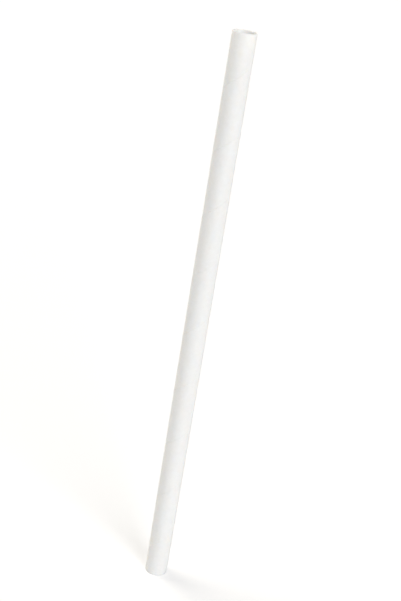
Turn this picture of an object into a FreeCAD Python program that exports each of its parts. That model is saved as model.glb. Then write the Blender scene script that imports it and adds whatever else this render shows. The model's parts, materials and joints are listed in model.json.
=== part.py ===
import FreeCAD, Part
import os
import Sketcher

# Paper drinking straw. Three layers of narrow paper strip are wound round a rod, glued
# together, and the tube is cut square at both ends. Neighbouring turns of a strip meet
# edge to edge, so one shallow seam winds round the outside of the tube and another round
# its bore. Glued up, the straw is one piece.
#
# Millimetres. The straw stands on the plane Z = 0 with its axis on Z, and the end that is
# drunk from is the upper one.

os.makedirs("parts", exist_ok=True)
doc = FreeCAD.newDocument("PaperStraw")

# Sizes: alias, plain number or formula, meaning
SIZES = [
    ("straw_length", "197", "end to end"),
    ("outer_diameter", "8", "outside of the tube"),
    ("wall_thickness", "0.45", "three layers of paper"),
    ("winding_angle", "50", "degrees from the straw's axis to the strips' edges"),
    ("seam_gap", "0.2", "across the seam, from strip edge to strip edge"),
    ("seam_depth", "0.06", "what the glue leaves open of one layer"),
    ("seam_overrun", "1", "how far the seams' cutters run past the ends"),
    ("bore_diameter", "=outer_diameter - 2 * wall_thickness", "inside of the tube"),
    ("winding_pitch", "=pi * outer_diameter / tan(winding_angle)", "rise of one turn"),
    ("seam_rise", "=seam_gap / sin(winding_angle)", "the seam's gap along the axis"),
]

sheet = doc.addObject("Spreadsheet::Sheet", "Sizes")
for row, (alias, value, meaning) in enumerate(SIZES, start=1):
    sheet.set(f"A{row}", alias)
    sheet.set(f"B{row}", value)
    sheet.set(f"C{row}", meaning)
    sheet.setAlias(f"B{row}", alias)
doc.recompute()

body = doc.addObject("PartDesign::Body", "StrawTube")
body.Label = "straw_tube"
planes = {feature.Role: feature for feature in body.Origin.OriginFeatures}


def new_sketch(name, plane):
    """A sketch of the body on one of its own origin planes."""
    sketch = body.newObject("Sketcher::SketchObject", name)
    sketch.AttachmentSupport = [(planes[plane], "")]
    sketch.MapMode = "FlatFace"
    return sketch


def constrain(sketch, formula, kind, *where):
    """Add a dimension to the sketch and bind it to the sheet."""
    number = sketch.addConstraint(Sketcher.Constraint(kind, *where))
    sketch.setExpression(f"Constraints[{number}]", formula)


# The tube: a ring, drawn out over the straw's length
ring = new_sketch("TubeSection", "XY_Plane")
for edge, (diameter, alias) in enumerate([(8.0, "outer_diameter"), (7.1, "bore_diameter")]):
    circle = Part.Circle(FreeCAD.Vector(0, 0, 0), FreeCAD.Vector(0, 0, 1), diameter / 2)
    ring.addGeometry(circle, False)
    ring.addConstraint(Sketcher.Constraint("Coincident", edge, 3, -1, 1))
    constrain(ring, f"Sizes.{alias}", "Diameter", edge, diameter)

tube = body.newObject("PartDesign::Pad", "Tube")
tube.Profile = ring
tube.setExpression("Length", "Sizes.straw_length")


def wind_seam(name, side, middle):
    """Cut a seam: a small rectangle, wound round the tube's axis at the strips' pitch.

    The rectangle sits astride the wall's face, whose radius is middle, on the tube's
    +X side (side 1) or -X side (side -1), so two seams start half a turn apart. It reaches
    as far into the wall as out of it, and it starts and ends beyond the straw's ends.
    """
    section = new_sketch(f"{name}Section", "XZ_Plane")

    # A rough rectangle first, which the dimensions below bring to its size and place
    near, far, low, high = 3.0 * side, 5.0 * side, -2.0, -1.0
    corners = [(near, low), (far, low), (far, high), (near, high)]
    for start, end in zip(corners, corners[1:] + corners[:1]):
        line = Part.LineSegment(FreeCAD.Vector(*start, 0), FreeCAD.Vector(*end, 0))
        section.addGeometry(line, False)
    for edge in range(4):
        section.addConstraint(Sketcher.Constraint("Coincident", edge, 2, (edge + 1) % 4, 1))
        level = "Horizontal" if edge % 2 == 0 else "Vertical"
        section.addConstraint(Sketcher.Constraint(level, edge))

    # Distances run towards +X and +Z, so on the -X side each pair of points swaps
    for point, reach in ((1, "-"), (2, "+")):
        pair = (-1, 1, 0, point) if side > 0 else (0, point, -1, 1)
        distance = abs(near if point == 1 else far)
        constrain(section, f"{middle} {reach} Sizes.seam_depth", "DistanceX", *pair, distance)
    constrain(section, "Sizes.seam_overrun + Sizes.seam_rise", "DistanceY", 0, 1, -1, 1, -low)
    constrain(section, "Sizes.seam_rise", "DistanceY", 1, 1, 1, 2, high - low)

    seam = body.newObject("PartDesign::SubtractiveHelix", name)
    seam.Profile = section
    seam.ReferenceAxis = (planes["Z_Axis"], [""])
    seam.Mode = "pitch-height-angle"
    seam.Refine = False  # each turn keeps faces of its own: merged, one face would wind over itself
    seam.setExpression("Pitch", "Sizes.winding_pitch")
    seam.setExpression("Height", "Sizes.straw_length + 2 * Sizes.seam_overrun + Sizes.seam_rise")
    return seam


seams = [
    wind_seam("OuterSeam", 1, "Sizes.outer_diameter / 2"),
    wind_seam("InnerSeam", -1, "Sizes.bore_diameter / 2"),
]

# Stood on its foot, with the tube's own axis upright
body.Placement = FreeCAD.Placement(FreeCAD.Vector(0, 0, 0), FreeCAD.Rotation())
doc.recompute()

# Nothing is written unless every feature is sound and both seams have cut the wall
for item in doc.Objects:
    if "Invalid" in item.State or "Error" in item.State:
        raise RuntimeError(f"{item.Name} failed: {item.State}")
solid = body.Shape
if solid.isNull() or not solid.isValid() or len(solid.Solids) != 1:
    raise RuntimeError("straw_tube is not one sound solid")
before = tube
for seam in seams:
    if seam.Shape.Volume >= before.Shape.Volume:
        raise RuntimeError(f"{seam.Name} has not cut the wall")
    before = seam

solid.exportStep(f"parts/{body.Label}.step")
print(body.Label, "volume", round(solid.Volume, 2), "pitch", round(float(sheet.winding_pitch), 3))
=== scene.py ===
"""Looks of a plain white paper drinking straw, standing on a pale floor.

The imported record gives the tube's sizes. Over the solid goes one closed surface of the
wound tube, with the strip's edges, the layers in its cut ends and a paper finish for each
of its faces. Lengths are in metres, and those written in millimetres are multiplied by MM.
"""
import json
import math

import bpy
import numpy as np
from mathutils import Matrix, Vector


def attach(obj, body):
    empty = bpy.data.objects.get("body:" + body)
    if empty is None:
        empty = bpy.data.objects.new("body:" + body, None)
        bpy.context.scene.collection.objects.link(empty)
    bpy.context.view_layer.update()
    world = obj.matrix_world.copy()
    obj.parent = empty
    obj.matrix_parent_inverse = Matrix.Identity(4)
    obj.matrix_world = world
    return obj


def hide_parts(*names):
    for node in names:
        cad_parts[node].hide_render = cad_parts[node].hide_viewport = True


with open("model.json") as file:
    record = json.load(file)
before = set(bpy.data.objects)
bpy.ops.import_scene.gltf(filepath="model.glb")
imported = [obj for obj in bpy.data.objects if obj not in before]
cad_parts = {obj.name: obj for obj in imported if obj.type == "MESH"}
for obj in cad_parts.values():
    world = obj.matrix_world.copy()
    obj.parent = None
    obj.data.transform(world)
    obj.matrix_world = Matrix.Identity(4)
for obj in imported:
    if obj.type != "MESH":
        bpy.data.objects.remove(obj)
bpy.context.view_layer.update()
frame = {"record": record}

MM = 0.001

# The tube, as packed: it stands on the floor, its axis on Z
dims = {mount["name"]: mount["dims"] for mount in frame["record"]["mounts"]}
OUTER_RADIUS = dims["outside"]["r_mm"] * MM
BORE_RADIUS = dims["lumen"]["r_mm"] * MM
LENGTH = dims["outside"]["length_mm"] * MM
WALL = OUTER_RADIUS - BORE_RADIUS

# The winding, as the solid's seams have it: the outside's starts below the foot, on +X
PLY_COUNT = 3
WINDING_ANGLE = math.radians(50)
PITCH = 2 * math.pi * OUTER_RADIUS / math.tan(WINDING_ANGLE)
STRIP_WIDTH = PITCH * math.sin(WINDING_ANGLE)
SEAM_GAP = 0.2 * MM
SEAM_DEPTH = 0.06 * MM
SEAM_OVERRUN = 1 * MM
SEAM_START = -SEAM_OVERRUN - SEAM_GAP / math.sin(WINDING_ANGLE) / 2

# The seam's walls slope between these shares of its gap, counted from its middle
SEAM_WALL = 0.35, 0.65

# The strip's edges lift beside the seam, to a crest at this distance from its middle, and one
# of them by only a share of the other's lift
EDGE_LIFT = 0.012 * MM
EDGE_LIFT_REACH = 0.35 * MM
EDGE_CREST = 0.75 * SEAM_GAP + EDGE_LIFT_REACH / 2
OTHER_EDGE_SHARE = 0.4

# Seams of the layers below print through as dips
PLY_PRINT = 0.008 * MM
PLY_PRINT_REACH = 0.6 * MM

# A slow unevenness: two waves, each with its number round the tube and its radians to the
# metre. The outside is drawn in by what stands proud of it, so that it stays in the solid.
FLUTTER = 0.006 * MM
FLUTTER_WAVES = (2, 35), (3, -60)
SURFACE_ALLOWANCE = EDGE_LIFT + FLUTTER

# The cut ends: edges rounded over, a groove at each glue line, and torn fibre. The rounding
# is in shares of its radius along the cut and down it, the groove in shares of the wall and
# of its depth. Torn fibre has a share of its depth at the wall's faces, and more further in.
EDGE_ROUND = 0.05 * MM
ROUNDED_EDGE = (0.0, 1.0), (0.25, 0.45), (1.0, 0.0)
PLY_GROOVE = 0.035 * MM
GLUE_GROOVE = (-0.12, 0.0), (-0.04, 0.3), (0.0, 1.0), (0.04, 0.3), (0.12, 0.0)
RAGGED = 0.03 * MM
RAGGED_AT_EDGE = 0.2
RAGGED_RISE = 4
SEED = 7

# The grid: lines round the tube, and across the strip its lines about a seam, in half gaps,
# its lines about a dip, in reaches of the dip, and even steps between. A point nearer to an
# end than SNAP joins that end's ring.
AROUND = 144
SEAM_LINES = 0, 0.4, 0.8, 1.0, 1.25, 1.8, 2.8, 4.5, 7.0
DIP_LINES = -1.5, -0.75, 0, 0.75, 1.5
EVEN_STEPS = 8
SNAP = 0.02 * MM

# The photograph's view: from a little above the mouth, with the straw leaning to the right
LEAN = math.radians(9.4)
CAMERA_RISE = math.radians(23.1)
CAMERA_DISTANCE = 0.40
CAMERA_AIM = 9 * MM
CAMERA_NEAREST = 10 * MM
SENSOR_HEIGHT_MM = 24
LENS_MM = 47.6

# Light: a soft key to the right of the camera and a warm one from behind on the left, in an
# even surround. side turns a lamp from the camera's side, and rise is its climb over its run.
SURROUND = 0.412
SURROUND_TINT = (1.0, 0.99, 0.97, 1)
KEY = dict(strength=1.6, tint=(0.99, 0.997, 1.025), side=math.radians(31), rise=0.45,
           softness=math.radians(30))
BACK_LIGHT = dict(strength=1.44, tint=(1.04, 0.985, 0.89), side=math.radians(-120), rise=0.8,
                  softness=math.radians(40))
FLOOR_SIZE = 8.0
FLOOR_PAINT = 0.8
FLOOR_LIFT = 0.31

# Paper: a light and a dark tone for each face, and how many of each mark to the metre
OUTSIDE_TONES = (0.94, 0.935, 0.917, 1), (0.9, 0.892, 0.868, 1)
# The bore's tones are the paper's own, painted a touch lighter than the outside's: painted light that
# lifts the shade inside the tube
BORE_TONES_PAINTED_LIGHTER = (0.945, 0.94, 0.922, 1), (0.905, 0.895, 0.868, 1)
CUT_TONES = (0.945, 0.94, 0.925, 1), (0.88, 0.87, 0.845, 1)
CLOUD_SCALE = 900
TOOTH_SCALE = 4200
FIBRE_SCALE = (900, 6500, 1)

# How much of the pulp's tone and of the paper's relief its fibres give, and how far from the
# strip's edge its shade starts to fade and is gone
FIBRES_IN_TONE = 0.5
FIBRES_IN_RELIEF = 0.7
EDGE_SHADE = 0.2 * SEAM_GAP, 1.5 * SEAM_GAP

# The stretch of a grain that turns one tone into the other, and roughness about its mean
TONE_RANGE = 0.36, 0.62
ROUGH_RANGE = 0.3, 0.7
ROUGH_SPREAD = 0.06

# How paper meets light: a little shine, a trace of down, and light that passes into it
SHINE = 0.35
DOWN = 0.08
GLOW = 0.7
GLOW_DEPTH = 0.5 * MM
GLOW_COLOURS = (1.0, 0.9, 0.8)

# The surface's three finishes, and how sharp an edge stays hard
OUTSIDE, BORE, CUT_EDGE = 0, 1, 2
HARD_EDGE = math.radians(50)


def smooth_step(low, high, x):
    """0 below low, 1 above high, and 3t^2 - 2t^3 between them."""
    t = np.clip((x - low) / (high - low), 0, 1)
    return t * t * (3 - 2 * t)


def hump(x, centre, reach):
    """A bell of height 1 at centre: e to the minus square of the distance over reach."""
    return np.exp(-((x - centre) / reach) ** 2)


def across_strip(share):
    """Distance across the strip from the nearest seam's middle, negative on the far side.

    share runs from 0 at a seam to 1 at the next, and the strip is STRIP_WIDTH wide.
    """
    return (np.mod(share + 0.5, 1.0) - 0.5) * STRIP_WIDTH


def strip_columns():
    """Where the grid's lines lie across the strip, as shares from 0 up to below 1.

    They stand close about the seam, so that its two walls and lifted edges have a form, and
    wide apart between, with a few about each place where a seam below prints through. Lines
    that are the same to six digits are one.
    """
    seam = np.array(SEAM_LINES) * SEAM_GAP / 2
    seam = np.concatenate([-seam[:0:-1], seam]) / STRIP_WIDTH
    dips = [turn / PLY_COUNT + line * PLY_PRINT_REACH / STRIP_WIDTH
            for turn in range(1, PLY_COUNT) for line in DIP_LINES]
    between = np.linspace(0, 1, EVEN_STEPS + 1)[1:-1]
    return np.unique(np.round(np.mod(np.concatenate([seam, dips, between]), 1.0), 6))


def seam_groove(distance):
    """How much of the seam's depth is open: 1 in its middle, 0 past its walls."""
    low, high = SEAM_WALL
    return 1 - smooth_step(low * SEAM_GAP, high * SEAM_GAP, np.abs(distance))


def flutter(angle, height):
    """The slow unevenness: FLUTTER times a sine times a cosine, both going round and up."""
    (around, up), (other_around, other_up) = FLUTTER_WAVES
    return FLUTTER * (np.sin(around * angle + up * height)
                      * np.cos(other_around * angle + other_up * height))


def outside_radius(angle, height, share):
    """The outside: a round tube, less the seam's groove, plus the strip's lifted edges.

    The seams of the layers below print through as shallow dips, a third of a strip apart,
    and a slow flutter of a few microns goes round and up.
    """
    distance = across_strip(share)
    groove = seam_groove(distance)
    lift = hump(distance, EDGE_CREST, EDGE_LIFT_REACH)
    lift += OTHER_EDGE_SHARE * hump(distance, -EDGE_CREST, EDGE_LIFT_REACH)
    dips = sum(hump(across_strip(share - turn / PLY_COUNT), 0, PLY_PRINT_REACH)
               for turn in range(1, PLY_COUNT))
    return (OUTER_RADIUS - SURFACE_ALLOWANCE - SEAM_DEPTH * groove
            + EDGE_LIFT * (1 - groove) * lift - PLY_PRINT * dips + flutter(angle, height))


def bore_radius(angle, height, share):
    """The bore: a round hole, widened by its own seam's groove and the slow flutter."""
    groove = seam_groove(across_strip(share))
    return BORE_RADIUS + FLUTTER + SEAM_DEPTH * groove + flutter(angle, height)


def tube_points(angle, height, radius):
    """Points at a distance radius from the straw's axis, turned by angle from +X towards +Y."""
    return np.stack([radius * np.cos(angle), radius * np.sin(angle), height], axis=-1)


def wound_wall(radius_at, seam_start, foot, mouth):
    """One face of the wall: a strip wound into a tube, as (points, triangles, uv, rings).

    Row j lies at the angle 2 pi j / AROUND and goes on from turn to turn. Column m lies the
    share columns[m] of a pitch further up the straw, so the point (j, m) has the height
    seam_start + PITCH (j / AROUND + columns[m]). The strip's last column is the first one of
    its next turn, which closes the tube. Points below foot or above mouth become that end's
    ring, and triangles that shrink to nothing there are left out. uv is the distance along
    and across the strip.
    """
    columns = strip_columns()
    count = len(columns)
    start = seam_start + (math.floor((foot - seam_start) / PITCH) - 1) * PITCH
    turns = math.ceil((mouth - start) / PITCH) + 1
    rows = np.arange((turns + 1) * AROUND + 1)
    angle = 2 * np.pi * rows / AROUND
    height = start + PITCH * (rows[:, None] / AROUND + columns[None, :])
    radius = radius_at(angle[:, None], height, columns[None, :])
    body = tube_points(np.broadcast_to(angle[:, None], height.shape), height, radius).reshape(-1, 3)

    ring_angle = 2 * np.pi * np.arange(AROUND) / AROUND
    rings = []
    for end in (foot, mouth):
        share = (end - start) / PITCH - np.arange(AROUND) / AROUND
        rings.append(tube_points(ring_angle, np.full(AROUND, end), radius_at(ring_angle, end, share)))

    number = np.arange(body.shape[0]).reshape(height.shape)
    foot_ring = (body.shape[0] + rows % AROUND)[:, None]
    mouth_ring = foot_ring + AROUND
    number = np.where(height < foot + SNAP, foot_ring, number)
    number = np.where(height > mouth - SNAP, mouth_ring, number)

    j, m = np.meshgrid(np.arange(turns * AROUND), np.arange(count), indexing="ij")
    j, m = j.ravel(), m.ravel()
    corner_j = np.stack([j, j + 1, j + 1, j], axis=1)
    corner_m = np.stack([m, m, m + 1, m + 1], axis=1)
    wraps = corner_m == count
    vertex = number[corner_j + wraps * AROUND, corner_m % count]
    across = np.append(columns, 1.0)[corner_m] * STRIP_WIDTH
    along = corner_j * (2 * math.pi * OUTER_RADIUS / math.sin(WINDING_ANGLE) / AROUND)
    uv = np.stack([along, across], axis=-1)

    halves = np.array([[0, 1, 2], [0, 2, 3]])
    triangles = vertex[:, halves].reshape(-1, 3)
    uv = uv[:, halves].reshape(-1, 3, 2)
    a, b, c = triangles.T
    kept = (a != b) & (b != c) & (c != a)
    points = np.concatenate([body] + rings)
    ring_numbers = [body.shape[0] + np.arange(AROUND), body.shape[0] + AROUND + np.arange(AROUND)]
    return points, triangles[kept], uv[kept], ring_numbers


def cut_outline():
    """The cut end's profile, from outside to bore, as (share of the wall, depth below the cut).

    Both edges are rounded over, and a groove marks each glue line between two layers.
    """
    edge = EDGE_ROUND / WALL
    outline = [(along * edge, down * EDGE_ROUND) for along, down in ROUNDED_EDGE]
    for line in range(1, PLY_COUNT):
        outline += [(line / PLY_COUNT + along, down * PLY_GROOVE) for along, down in GLUE_GROOVE]
    outline += [(1 - along * edge, down * EDGE_ROUND) for along, down in reversed(ROUNDED_EDGE)]
    return np.array(outline)


def cut_face(outer_ring, bore_ring, direction, chance):
    """The points of the cut end that lie between two rings, one row for each outline line.

    Each line of the outline stands the share s of the way from the outer ring to the bore's,
    pushed out of the end by the edge's rounding less the outline's depth, and torn fibre
    roughens it by a smoothed random depth, whose share of RAGGED is RAGGED_AT_EDGE at the
    wall's faces and grows inwards by RAGGED_RISE to the wall, up to 1. direction is -1 at the
    foot and 1 at the mouth.
    """
    outline = cut_outline()[1:-1]
    share, depth = outline[:, 0, None, None], outline[:, 1, None]
    points = outer_ring[None] * (1 - share) + bore_ring[None] * share
    rough = chance.random((len(outline), AROUND))
    rough = (rough + np.roll(rough, 1, axis=1) + np.roll(rough, -1, axis=1)) / 3
    from_edge = np.minimum(outline[:, :1], 1 - outline[:, :1])
    rough *= np.minimum(1, RAGGED_RISE * from_edge + RAGGED_AT_EDGE)
    points[..., 2] += direction * (EDGE_ROUND - depth - RAGGED * rough)
    return points


def closed_lattice(numbers, outward):
    """Triangles of a lattice of points whose last column meets its first.

    outward is 1 where rows by columns turn the faces outwards as they are, else -1.
    """
    here, right = numbers, np.roll(numbers, -1, axis=1)
    a, b, c, d = here[:-1], right[:-1], right[1:], here[1:]
    triangles = np.stack([np.stack([a, b, c], -1), np.stack([a, c, d], -1)], axis=2).reshape(-1, 3)
    return triangles if outward > 0 else triangles[:, ::-1]


def lattice_uv(rows, row_values, outward):
    """The uv of closed_lattice's corners: distance round the straw, and row_values."""
    column, row = np.meshgrid(np.arange(AROUND), np.arange(rows - 1))
    corners = [(column, row), (column + 1, row), (column + 1, row + 1), (column, row + 1)]
    step = 2 * math.pi * OUTER_RADIUS / AROUND
    a, b, c, d = [np.stack([u * step, row_values[v]], axis=-1) for u, v in corners]
    uv = np.stack([np.stack([a, b, c], -2), np.stack([a, c, d], -2)], axis=2).reshape(-1, 3, 2)
    return uv if outward > 0 else uv[:, ::-1]


def straw_surface():
    """The whole straw as one closed surface: (points, triangles, uv, finish of each triangle).

    The outside and the bore are wound walls, half a turn apart, and the cut faces join their
    rings at the foot and at the mouth.
    """
    chance = np.random.default_rng(SEED)
    foot, mouth = EDGE_ROUND, LENGTH - EDGE_ROUND
    outer = wound_wall(outside_radius, SEAM_START, foot, mouth)
    bore = wound_wall(bore_radius, SEAM_START + PITCH / 2, foot, mouth)
    shift = len(outer[0])
    points = [outer[0], bore[0]]
    triangles = [outer[1], bore[1][:, ::-1] + shift]
    uv = [outer[2], bore[2][:, ::-1]]
    finish = [np.full(len(outer[1]), OUTSIDE), np.full(len(bore[1]), BORE)]

    outline_depth = cut_outline()[:, 0] * WALL
    for end, direction in ((0, -1), (1, 1)):
        outer_ring, bore_ring = outer[3][end], bore[3][end]
        between = cut_face(outer[0][outer_ring], bore[0][bore_ring], direction, chance)
        total = sum(len(block) for block in points)
        numbers = total + np.arange(between.shape[0] * AROUND).reshape(-1, AROUND)
        lattice = np.concatenate([outer_ring[None], numbers, bore_ring[None] + shift])
        points.append(between.reshape(-1, 3))
        triangles.append(closed_lattice(lattice, direction))
        uv.append(lattice_uv(len(lattice), outline_depth, direction))
        finish.append(np.full(len(triangles[-1]), CUT_EDGE))

    used, renumbered = np.unique(np.concatenate(triangles), return_inverse=True)
    return (np.concatenate(points)[used], renumbered.reshape(-1, 3),
            np.concatenate(uv), np.concatenate(finish))


def surface_object(name, points, triangles, uv, finish, materials):
    """An object at the origin from whole arrays, smooth but for its hard edges."""
    mesh = bpy.data.meshes.new(name)
    mesh.vertices.add(len(points))
    mesh.vertices.foreach_set("co", points.astype(np.float32).ravel())
    mesh.loops.add(triangles.size)
    mesh.loops.foreach_set("vertex_index", triangles.astype(np.int32).ravel())
    mesh.polygons.add(len(triangles))
    mesh.polygons.foreach_set("loop_start", np.arange(0, triangles.size, 3, dtype=np.int32))
    mesh.polygons.foreach_set("material_index", finish.astype(np.int32))
    mesh.polygons.foreach_set("use_smooth", np.ones(len(triangles), dtype=bool))
    mesh.update(calc_edges=True)
    layer = mesh.uv_layers.new(name="strip")
    layer.data.foreach_set("uv", uv.astype(np.float32).ravel())
    for material in materials:
        mesh.materials.append(material)
    mesh.set_sharp_from_angle(angle=HARD_EDGE)
    piece = bpy.data.objects.new(name, mesh)
    bpy.context.scene.collection.objects.link(piece)
    return piece


def add_node(tree, kind, inputs=None, **settings):
    """A node with its settings made and its inputs linked, where they are sockets, or set."""
    node = tree.nodes.new(kind)
    for key, value in settings.items():
        setattr(node, key, value)
    for key, value in (inputs or {}).items():
        if isinstance(value, bpy.types.NodeSocket):
            tree.links.new(value, node.inputs[key])
        else:
            node.inputs[key].default_value = value
    return node


def math_node(tree, operation, *values):
    """A Math node's value."""
    return add_node(tree, "ShaderNodeMath", dict(enumerate(values)), operation=operation).outputs[0]


def map_range(tree, value, from_range, to_range=(0.0, 1.0)):
    """A Map Range node's value: value moved from one range to another, and kept inside it."""
    inputs = {"Value": value, "From Min": from_range[0], "From Max": from_range[1],
              "To Min": to_range[0], "To Max": to_range[1]}
    return add_node(tree, "ShaderNodeMapRange", inputs).outputs[0]


def blank_material(name):
    """A material with nothing in it but its output, as (material, tree, output)."""
    material = bpy.data.materials.new(name)
    material.use_nodes = True
    tree = material.node_tree
    tree.nodes.clear()
    return material, tree, tree.nodes.new("ShaderNodeOutputMaterial")


def paper_finish(name, light_tone, dark_tone, roughness, fibre_depth, seam_tone):
    """Uncoated bleached paper: cloudy pulp, fibres lying along the strip, and a fine tooth.

    The pulp clouds and the tooth follow the object, and the fibres the strip's own uv, in
    which they are long one way and thin the other. seam_tone darkens the strip's two edges.
    """
    material, tree, output = blank_material(name)
    place = add_node(tree, "ShaderNodeTexCoord").outputs["Object"]
    strip = add_node(tree, "ShaderNodeUVMap", uv_map="strip").outputs["UV"]
    lengthwise = add_node(tree, "ShaderNodeMapping", {"Vector": strip, "Scale": FIBRE_SCALE}).outputs[0]

    def grain(vector, scale, detail, rough=0.6):
        """A noise's value, from 0 to 1."""
        inputs = {"Vector": vector, "Scale": scale, "Detail": detail, "Roughness": rough}
        return add_node(tree, "ShaderNodeTexNoise", inputs).outputs["Fac"]

    def blend(first, second, share):
        """share of the first value, and the rest of the second."""
        rest = math_node(tree, "MULTIPLY", second, 1 - share)
        return math_node(tree, "MULTIPLY_ADD", first, share, rest)

    clouds = grain(place, CLOUD_SCALE, detail=3)
    tooth = grain(place, TOOTH_SCALE, detail=2)
    fibres = grain(lengthwise, 1, detail=4, rough=0.7)

    pulp = map_range(tree, blend(fibres, clouds, FIBRES_IN_TONE), TONE_RANGE)
    colour = add_node(tree, "ShaderNodeMix", {"Factor": pulp, "A": dark_tone, "B": light_tone},
                      data_type="RGBA").outputs["Result"]
    across = add_node(tree, "ShaderNodeSeparateXYZ", {0: strip}).outputs["Y"]
    from_edge = math_node(tree, "PINGPONG", across, STRIP_WIDTH / 2)
    edge = map_range(tree, from_edge, EDGE_SHADE, (seam_tone, 1.0))
    tinted = add_node(tree, "ShaderNodeMix", {"Factor": 1.0, "A": colour, "B": edge},
                      data_type="RGBA", blend_type="MULTIPLY").outputs["Result"]

    relief = blend(fibres, tooth, FIBRES_IN_RELIEF)
    bump = add_node(tree, "ShaderNodeBump", {"Height": relief, "Distance": fibre_depth, "Strength": 1.0})
    uneven = map_range(tree, tooth, ROUGH_RANGE, (roughness - ROUGH_SPREAD, roughness + ROUGH_SPREAD))
    shader = add_node(tree, "ShaderNodeBsdfPrincipled",
                      {"Base Color": tinted, "Roughness": uneven, "Normal": bump.outputs[0],
                       "Specular IOR Level": SHINE, "Sheen Weight": DOWN,
                       "Subsurface Weight": GLOW, "Subsurface Scale": GLOW_DEPTH,
                       "Subsurface Radius": GLOW_COLOURS})
    tree.links.new(shader.outputs[0], output.inputs["Surface"])
    return material


def seen_directly(tree):
    """1 for what the camera, a reflection or glass sees, and 0 for light that bounces."""
    path = add_node(tree, "ShaderNodeLightPath")
    seen = math_node(tree, "MAXIMUM", path.outputs["Is Camera Ray"], path.outputs["Is Glossy Ray"])
    return math_node(tree, "MAXIMUM", seen, path.outputs["Is Transmission Ray"])


def white_floor():
    """A matt pale floor under the straw, lifted to white where it is seen outside a shadow."""
    material, tree, output = blank_material("floor_paint")
    paint = add_node(tree, "ShaderNodeBsdfDiffuse", {"Color": (FLOOR_PAINT,) * 3 + (1,)})
    lift = add_node(tree, "ShaderNodeEmission",
                    {"Strength": math_node(tree, "MULTIPLY", seen_directly(tree), FLOOR_LIFT)})
    both = add_node(tree, "ShaderNodeAddShader", {0: paint.outputs[0], 1: lift.outputs[0]})
    tree.links.new(both.outputs[0], output.inputs["Surface"])

    half = FLOOR_SIZE / 2
    corners = [(-half, -half, 0), (half, -half, 0), (half, half, 0), (-half, half, 0)]
    mesh = bpy.data.meshes.new("floor")
    mesh.from_pydata(corners, [], [(0, 1, 2, 3)])
    mesh.materials.append(material)
    floor = bpy.data.objects.new("floor", mesh)
    bpy.context.scene.collection.objects.link(floor)


def white_surround():
    """An even pale light from all round, which looks white where it is seen."""
    world = bpy.data.worlds.new("surround")
    bpy.context.scene.world = world
    world.use_nodes = True
    tree = world.node_tree
    tree.nodes.clear()
    output = tree.nodes.new("ShaderNodeOutputWorld")
    light = add_node(tree, "ShaderNodeBackground", {"Color": SURROUND_TINT, "Strength": SURROUND})
    seen = add_node(tree, "ShaderNodeBackground", {"Color": (1, 1, 1, 1), "Strength": 1.0})
    chosen = add_node(tree, "ShaderNodeMixShader",
                      {0: seen_directly(tree), 1: light.outputs[0], 2: seen.outputs[0]})
    tree.links.new(chosen.outputs[0], output.inputs["Surface"])


def turned_to(direction, up):
    """The rotation of a camera or lamp that faces against direction, its top towards up."""
    back = direction.normalized()
    right = up.cross(back).normalized()
    return Matrix((right, back.cross(right), back)).transposed().to_4x4()


def soft_lamp(name, strength, tint, side, rise, softness):
    """A broad even light from far off, turned by side to the right of the camera."""
    data = bpy.data.lights.new(name, "SUN")
    data.energy = strength
    data.angle = softness
    data.color = tint
    lamp = bpy.data.objects.new(name, data)
    bpy.context.scene.collection.objects.link(lamp)
    direction = Vector((math.sin(side), -math.cos(side), rise))
    lamp.matrix_world = turned_to(direction, Vector((0, 0, 1)))


def camera_in_front():
    """The camera, CAMERA_RISE above the level of the straw's middle and rolled by LEAN.

    It is aimed at the point CAMERA_AIM above the middle.
    """
    data = bpy.data.cameras.new("camera")
    data.sensor_fit = "VERTICAL"
    data.sensor_height = SENSOR_HEIGHT_MM
    data.lens = LENS_MM
    data.clip_start = CAMERA_NEAREST
    camera = bpy.data.objects.new("camera", data)
    bpy.context.scene.collection.objects.link(camera)
    middle = Vector((0, 0, LENGTH / 2))
    place = middle + CAMERA_DISTANCE * Vector((0, -math.cos(CAMERA_RISE), math.sin(CAMERA_RISE)))
    back = place - middle - Vector((0, 0, CAMERA_AIM))
    up = Matrix.Rotation(LEAN, 3, back) @ Vector((0, 0, 1))
    camera.matrix_world = Matrix.Translation(place) @ turned_to(back, up)
    bpy.context.scene.camera = camera


camera_in_front()
soft_lamp("key", **KEY)
soft_lamp("back_light", **BACK_LIGHT)
white_surround()
white_floor()

straw = surface_object("wound_straw", *straw_surface(), [
    paper_finish("outside_paper", *OUTSIDE_TONES, roughness=0.62, fibre_depth=0.016 * MM, seam_tone=0.985),
    # the bore: the same paper, painted a touch lighter as painted light against the shade inside the tube
    paper_finish("bore_paper_painted_lighter", *BORE_TONES_PAINTED_LIGHTER, roughness=0.7, fibre_depth=0.018 * MM, seam_tone=0.97),
    paper_finish("cut_edge_paper", *CUT_TONES, roughness=0.85, fibre_depth=0.024 * MM, seam_tone=1.0),
])
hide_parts("straw_tube")
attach(straw, "root")

bpy.context.scene.view_settings.view_transform = "Standard"
